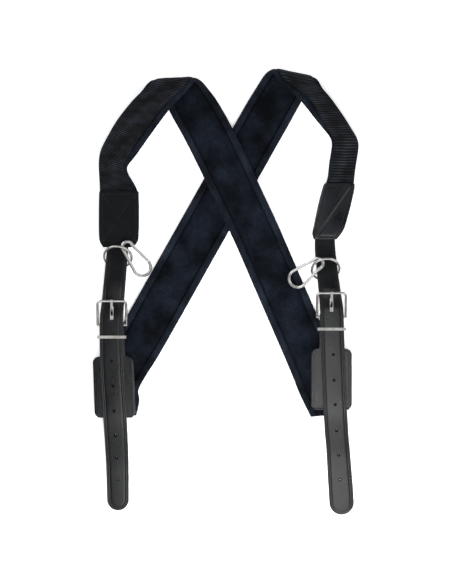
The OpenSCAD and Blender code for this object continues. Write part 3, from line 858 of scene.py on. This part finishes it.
def make_strap(side):
    ribbon = strap_ribbon(side)
    tip_x, tip_y, tip_r = ribbon.tip
    y = ribbon.middle[:, 1]

    def to_edge(d, a):
        to_tip = tip_r - np.hypot(a, y[:, None] - tip_y)
        return np.where(y[:, None] < tip_y, np.minimum(d, to_tip), d)

    def relief(s, d, a):
        d = to_edge(d, a)
        lift = 0.18 * np.clip(d / 14, 0, 1) + 0.1 * waves(s, a, side_seed(side, 31), 110)
        return (groove(d, CREASE_AT, 0.45, 0.3) + groove(d, STITCH_AT, 0.7, 0.28)
                + lift * np.clip(d / 3, 0, 1))

    strap = band(f"{side}_strap_leather", ribbon, ribbon.half, STRAP_T, STRAP_LEATHER, relief,
                 TOP_OFFSETS, 1.2)
    cutters = []
    for x, hole_y, lean in STRAP_HOLES[side]:
        z = np.interp(-hole_y, -y, ribbon.middle[:, 2])
        for radius, lift in ((HOLE_R, HOLE_STEP), (SHADED_FLOOR_HOLE_R, 0)):
            bpy.ops.mesh.primitive_cylinder_add(
                vertices=HOLE_SIDES, radius=radius * MM, depth=HOLE_CUT_H * MM,
                location=(x * MM, hole_y * MM, (z + lift) * MM),
                rotation=(math.radians(lean), 0, 0))
            cutters.append(bpy.context.object)
    cut(strap, cutters[::2])
    cut(strap, cutters[1::2])
    cut(strap, [slot_cutter(side)])
    dress(strap, "harness", "leather", f"{side}_strap")

    # Thread along both edges and round the tip, on the strap's upper face.
    body = np.where(y > tip_y + 0.5)[0][8:]
    inset = ribbon.half - STITCH_AT
    up = ribbon.normal
    lift = STRAP_T / 2 - THREAD_SINK
    one = ribbon.middle[body] + ribbon.across[body] * inset[body, None] + up[body] * lift
    two = ribbon.middle[body] - ribbon.across[body] * inset[body, None] + up[body] * lift
    angle = np.linspace(0, math.pi, TIP_STITCH_POINTS)
    r = tip_r - STITCH_AT
    z = ribbon.middle[-TIP_ROWS // 2, 2] + lift
    arc = np.column_stack([tip_x - r * np.cos(angle), tip_y - r * np.sin(angle),
                           np.full(len(angle), z)])
    first, second = (one, two) if one[-1, 0] < two[-1, 0] else (two, one)
    run = np.vstack([first, arc[1:-1], second[::-1]])
    normals = np.vstack([up[body], np.tile([0, 0, 1.0], (len(arc) - 2, 1)), up[body][::-1]])
    dress(stitches(f"{side}_strap_stitches", [(run, normals)], BLACK_THREAD, seed=41), "harness",
          "leather")


def loop_line():
    """Side view of a belt loop's leather: v along the loop and z up."""
    wrap_r = HEEL_R + LOOP_T / 2
    front_z = NECK_TOP - LOOP_T / 2
    under_z = front_z - LOOP_T - 0.1
    turn_r = (NECK_TOP - LOOP_LOW) / 2 - LOOP_T / 2
    turn = (-LOOP_DROP + turn_r + LOOP_T / 2, LOOP_LOW + LOOP_T / 2 + turn_r)

    def arc(centre, r, start, end, steps):
        angle = np.radians(np.linspace(start, end, steps + 1))
        return [[centre[0] + r * math.cos(t), centre[1] + r * math.sin(t)] for t in angle]

    line = [[-SEAM_V + 7, under_z], [-14, under_z], [-10, under_z - 0.6]]
    line += arc((0, HEEL_Z), wrap_r, -105, 90, 24)
    line += [[-30, front_z], [-SEAM_V, front_z], [-80, front_z]]
    line += arc(turn, turn_r, 90, 270, 24)
    line += [[-SEAM_V - 14, LOOP_LOW + LOOP_T / 2], [-SEAM_V - 11, LOOP_LOW + LOOP_T / 2 + 0.5],
             [-SEAM_V - 4, under_z - 0.5], [-SEAM_V - 1, under_z], [-SEAM_V + 6, under_z]]
    return np.array(line)


LOOP_CORNER = 9.0
LOOP_STEP = 0.8
# The loop's stitches in from its edge, and its two seams across, from its bottom and top.
LOOP_STITCH_AT, BOTTOM_SEAM, NECK_SEAM = 4.2, 5.6, 4.0
LOOP_THREAD_Z = NECK_TOP + 0.06
NECK_HALF = 17.0


def loop_half(v):
    """Half width of a belt loop at distance v from the heel bar, positive up the table."""
    wide = LOOP_W / 2
    inner = wide - LOOP_CORNER
    top, bottom = -SEAM_V, -LOOP_DROP
    half = np.where(v > -14, 16.5 + 0.5 * np.clip((-4 - v) / 10, 0, 1), NECK_HALF)
    flare = np.clip((-v - SEAM_V + 6) / 6, 0, 1)
    half = half + flare * flare * 1.0
    down = np.clip((top - v) / LOOP_CORNER, 0, 1)
    shoulder = inner + LOOP_CORNER * np.sqrt(1 - (1 - down) ** 2)
    half = np.where(v < top, shoulder, half)
    up = np.clip((v - bottom) / LOOP_CORNER, 0, 1)
    return np.minimum(half, inner + LOOP_CORNER * np.sqrt(1 - (1 - up) ** 2 + 1e-6))


def make_belt_loop(side):
    hip_x, hip_y = HIP[side]
    line = loop_line()
    rows = resample(np.column_stack([np.zeros(len(line)), line]), LOOP_STEP)
    v = rows[:, 1]
    lean = math.radians(LOOP_LEAN[side])
    middle = np.column_stack([hip_x - v * math.tan(lean), hip_y + v, rows[:, 2]])
    ribbon = Ribbon(middle, np.tile([1.0, 0, 0], (len(v), 1)), loop_half(v))
    # The front runs from the wrap round the heel bar to just past the turn at the bottom.
    row = np.arange(len(v))[:, None]
    front = (row > np.argmax(v)) & (row < np.argmin(v) + 8)

    def relief(s, d, a):
        low = np.clip((-v[:, None] - SEAM_V) / 3, 0, 1)
        ripple = 0.2 * waves(s, a, side_seed(side, 51), 60) * np.clip(d / 4, 0, 1)
        return (groove(d, LOOP_STITCH_AT, 0.8, 0.4) * low + ripple * low) * front

    loop = band(f"{side}_belt_loop_leather", ribbon, ribbon.half, LOOP_T, LOOP_LEATHER, relief,
                TOP_OFFSETS, 0.9)
    # Room for the prong's eye on the heel bar.
    bpy.ops.mesh.primitive_cube_add(size=1, location=(hip_x * MM, hip_y * MM, HEEL_Z * MM),
                                    scale=(9 * MM, 14 * MM, 12 * MM))
    cut(loop, [bpy.context.object])
    dress(loop, "harness", "leather", f"{side}_belt_loop")

    # Thread down both sides of the front, round the corners, and across the neck's seam.
    corner = LOOP_CORNER - LOOP_STITCH_AT
    x_in, low_v, high_v = LOOP_W / 2 - LOOP_CORNER, -LOOP_DROP + LOOP_CORNER, -SEAM_V - LOOP_CORNER
    outline = []
    for sign_x, start in ((1, 90), (1, 0), (-1, 270), (-1, 180)):
        centre = (sign_x * x_in, high_v if start in (90, 180) else low_v)
        for t in np.radians(np.linspace(start, start - 90, 8)):
            outline.append([centre[0] + corner * math.cos(t), centre[1] + corner * math.sin(t)])
    outline = np.array(outline)
    outline = outline[outline[:, 1] > -LOOP_DROP + BOTTOM_SEAM - 0.2]

    def turned(points):
        x = points[:, 0] * math.cos(lean) - points[:, 1] * math.sin(lean)
        y = points[:, 0] * math.sin(lean) + points[:, 1] * math.cos(lean)
        return np.column_stack([hip_x + x, hip_y + y, np.full(len(x), LOOP_THREAD_Z)])

    def seam(reach, at):
        return np.array([[-reach, at], [reach, at]])

    right, left = (part[np.argsort(part[:, 1])]
                   for part in (outline[outline[:, 0] > 0], outline[outline[:, 0] < 0]))
    runs = []
    for part in (right, left, seam(x_in, -LOOP_DROP + BOTTOM_SEAM),
                 seam(NECK_HALF - 2, -SEAM_V + NECK_SEAM)):
        points = resample(turned(part), 1.0)
        runs.append((points, np.tile([0, 0, 1.0], (len(points), 1))))
    dress(stitches(f"{side}_belt_loop_stitches", runs, BLACK_THREAD, radius=0.4, seed=61),
          "harness", "leather")


def lifted(stations, lift):
    """Stations moved off the middle of the pad, as the CAD part moves them."""
    st = np.asarray(stations, float)
    across = across_at(st)
    last = len(st) - 1
    out = []
    for i in range(len(st)):
        run = unit(st[min(i + 1, last), :3] - st[max(i - 1, 0), :3])
        normal = unit(np.cross(across[i], run))
        out.append([*(st[i, :3] + normal * lift), *st[i, 3:]])
    return out


PATCH_STITCH_AT = 4.4
# The box seam stops this far from the patch's lower end, where the strap comes out.
PATCH_SEAM_END = 9
PATCH_TOP_OFFSETS = tuple(0.9 * k for k in range(24))
# Distance over which the patch's upper corners are nipped in, and by how much.
NIP_RUN, NIP = 2.5, 1.6
BOX_POINTS = 30


def make_patch(side, face):
    sign = -1 if face == "front" else 1
    stations = lifted(PATCH_ON_PAD[side], sign * (PAD_T / 2 + 0.1 + PATCH_T / 2))
    stations += PATCH_PAST_END[side, face]
    ribbon = ribbon_from(spline(stations, 6), 1.0, 2.0)
    if face == "front":
        # The top of a band is its normal's side, and the front patch faces up.
        ribbon.normal = -ribbon.normal
        ribbon.across = -ribbon.across
    length = ribbon.s[-1]
    nip = np.clip(ribbon.s / NIP_RUN, 0, 1)
    half = ribbon.half - NIP * (1 - np.sqrt(1 - (1 - nip) ** 2))

    def relief(s, d, a):
        d = np.minimum(d, np.minimum(s, length - s))
        lift = 0.3 * np.clip(d / 9, 0, 1) + 0.14 * waves(s, a, 71, 45) * np.clip(d / 5, 0, 1)
        if face == "back":
            return lift * 0.2
        out = lift + groove(d, PATCH_STITCH_AT, 0.7, 0.3)
        if side == "right":
            # A fold runs from the outer top corner to the lower end. q is the distance from it.
            start = np.array([3.0, -19.0])
            run = unit([length - 12.0, 10.0] - start)
            q = (s - start[0]) * run[1] - (a - start[1]) * run[0]
            ridge = 1.6 * np.exp(-(q / 2.8) ** 2) - 1.1 * np.exp(-((q + 5.5) / 3.5) ** 2)
            out = out + ridge * np.clip(d / 6, 0, 1)
        else:
            for sign in (-1, 1):
                run = unit(np.array([length - 2 * PATCH_STITCH_AT, sign * 2 * (half.max() - 6)]))
                q = (s - length / 2) * run[1] - a * run[0]
                out = out + groove(q, 0, 0.7, 0.28) * (d > PATCH_STITCH_AT)
        return out

    patch = band(f"{side}_patch_{face}_leather", ribbon, half, PATCH_T, PATCH_LEATHER[side],
                 relief, PATCH_TOP_OFFSETS, 0.8)
    dress(patch, "harness", "leather", f"{side}_patch_{face}")
    if face == "back":
        return
    # The box seam, with an X in it on the left patch. Corners are (distance along, across).
    top, low = PATCH_STITCH_AT, length - PATCH_SEAM_END
    at_top, at_low = np.interp([top, low], ribbon.s, half) - PATCH_STITCH_AT
    seams = [((top, -at_top), (top, at_top)), ((low, -at_low), (low, at_low)),
             ((top, -at_top), (low, -at_low)), ((top, at_top), (low, at_low))]
    if side == "left":
        seams += [((top, -at_top), (low, at_low)), ((top, at_top), (low, -at_low))]
    runs = []
    for start, end in seams:
        s, a = np.linspace(start, end, BOX_POINTS).T
        runs.append(ribbon.at(s, a, np.full(BOX_POINTS, PATCH_T / 2 + THREAD_SINK)))
    dress(stitches(f"{side}_patch_stitches", runs, PATCH_THREAD, pitch=3.0, length=2.3,
                   radius=0.3, seed=81), "harness", "leather")


# ---------------------------------------------------------------- metal


def plate_metal():
    """Plates the CAD nodes that no piece has replaced."""
    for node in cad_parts.values():
        if not node.hide_render:
            node.data.materials.clear()
            node.data.materials.append(PLATING)


# ---------------------------------------------------------------- table, light and camera

# Height of the view at the object, in millimetres, and the point at its middle.
FRAME_H = 817.6
IMAGE_CENTRE = (0.0, -0.7)
# The rest of this part is in metres and watts, apart from the sensor.
CAMERA_UP, VIEWED_AT = 4.0, 0.012
SENSOR = 36.0
FAR_CLIP = 50
TABLE_SIZE, TABLE_DROP = 12, 0.0004
# Name, place, size and power of the three lamps round the object.
LAMPS = (("key", (-1.5, 1.2, 1.5), 2.0, 27), ("fill", (1.7, 0.5, 1.4), 2.2, 14),
         ("low", (0.3, -1.8, 1.3), 2.0, 17))
# Overhead the studio is dimmer than round its walls: upward part of a direction, and strength.
WALL, OVERHEAD = (0.55, 0.58), (0.95, 0.16)


def make_floor():
    material = Nodes("pale_floor")
    material.set(Base_Color=(0.93, 0.93, 0.93, 1.0), Roughness=0.9, Specular_IOR_Level=0.1,
                 Emission_Color=(1.0, 1.0, 1.0, 1.0), Emission_Strength=0.42)
    bpy.ops.mesh.primitive_plane_add(size=TABLE_SIZE, location=(0, 0, -TABLE_DROP))
    floor = bpy.context.object
    floor.name = "table_top"
    floor.data.materials.append(material.material)


def area_light(name, location, size, power, aim=(0, 0, 0)):
    """A round soft lamp that faces a point."""
    data = bpy.data.lights.new(name, "AREA")
    data.shape, data.size, data.energy = "DISK", size, power
    lamp = bpy.data.objects.new(name, data)
    lamp.location = location
    direction = np.array(location, float) - np.array(aim, float)
    yaw = math.atan2(direction[1], direction[0])
    pitch = math.acos(direction[2] / np.linalg.norm(direction))
    lamp.rotation_euler = (0, pitch, yaw)
    SCENE.collection.objects.link(lamp)
    return lamp


def light_metal(lamp, state):
    """Leaves the CAD nodes out of a lamp's light, or keeps its light for them."""
    group = bpy.data.collections.new(f"{lamp.name}_receivers")
    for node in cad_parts.values():
        group.objects.link(node)
    for entry in group.collection_objects:
        entry.light_linking.link_state = state
    lamp.light_linking.receiver_collection = group


def make_light():
    for lamp in LAMPS:
        area_light(*lamp)
    # One lamp gives the leather its sheen. It would burn out the metal, which has a dimmer one.
    sheen = area_light("sheen", (0.1, -0.37, 0.72), 0.5, 7.0, (0.1, -0.37, 0))
    sheen.data.shape, sheen.data.size_y = "ELLIPSE", 0.68
    light_metal(sheen, "EXCLUDE")
    light_metal(area_light("wire", (0, -0.05, 1.2), 1.3, 4.0, (0, -0.05, 0)), "INCLUDE")
    world = bpy.data.worlds.new("studio")
    world.use_nodes = True
    tree = world.node_tree
    place = tree.nodes.new("ShaderNodeTexCoord")
    split = tree.nodes.new("ShaderNodeSeparateXYZ")
    ramp = tree.nodes.new("ShaderNodeMapRange")
    tree.links.new(place.outputs["Generated"], split.inputs[0])
    tree.links.new(split.outputs["Z"], ramp.inputs["Value"])
    for end, (upward, strength) in (("Min", WALL), ("Max", OVERHEAD)):
        ramp.inputs["From " + end].default_value = upward
        ramp.inputs["To " + end].default_value = strength
    background = tree.nodes["Background"]
    background.inputs["Color"].default_value = (0.95, 0.97, 1.0, 1.0)
    tree.links.new(ramp.outputs["Result"], background.inputs["Strength"])
    SCENE.world = world
    SCENE.view_settings.view_transform = "Standard"


def make_camera():
    data = bpy.data.cameras.new("camera")
    data.sensor_width = SENSOR
    data.lens = SENSOR * CAMERA_UP / (FRAME_H * MM)
    data.clip_end = FAR_CLIP
    camera = bpy.data.objects.new("camera", data)
    camera.location = (IMAGE_CENTRE[0] * MM, IMAGE_CENTRE[1] * MM, CAMERA_UP + VIEWED_AT)
    SCENE.collection.objects.link(camera)
    SCENE.camera = camera


make_camera()
make_floor()
make_light()
for side in SIDES:
    make_pad(side)
    make_belt_loop(side)
    make_strap(side)
    for face in ("front", "back"):
        make_patch(side, face)
plate_metal()
